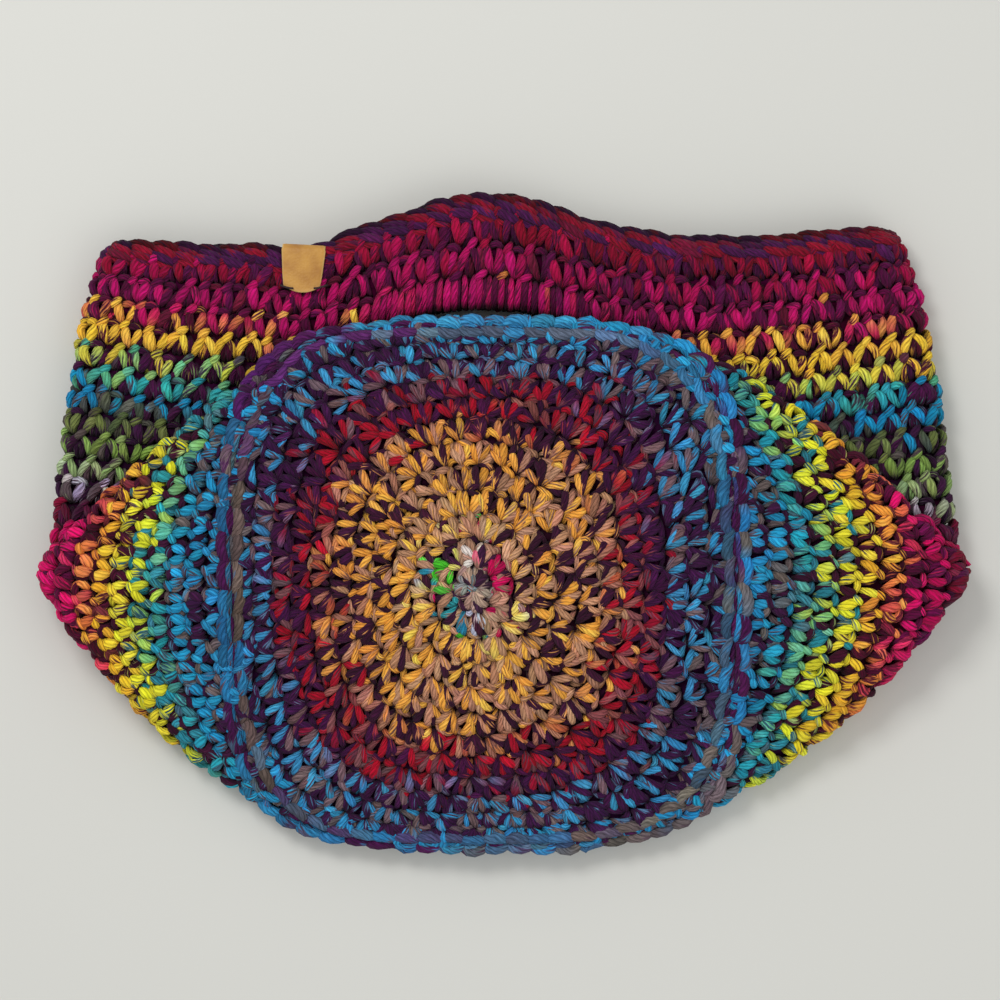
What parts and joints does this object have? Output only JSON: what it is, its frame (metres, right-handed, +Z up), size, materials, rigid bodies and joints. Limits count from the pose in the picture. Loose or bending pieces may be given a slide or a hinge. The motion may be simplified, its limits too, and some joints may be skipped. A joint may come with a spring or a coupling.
{
  "type": "crochet tote bag",
  "caption": "Soft round-based tote bag worked in thick striped yarn, lying flat with its base folded up over the front, with hand slots under the rim and a small leather tag.",
  "frame": {"origin": "middle of the bag's outline, on the table it lies on", "axes": "+X along the mouth and from gusset tip to gusset tip, +Y towards the mouth, +Z up from the table"},
  "size_m": [0.418, 0.293, 0.0388],
  "materials": {
    "yarn": "thick two-strand yarn, striped from plum and magenta to gold, green and blue",
    "leather": "smooth tan vegetable-tanned leather",
    "thread": "dark sewing thread"
  },
  "bodies": {
    "root": {"crochet_body": "yarn", "leather_label": "leather", "label_thread_left": "thread", "label_thread_right": "thread"}
  },
  "joints": []
}
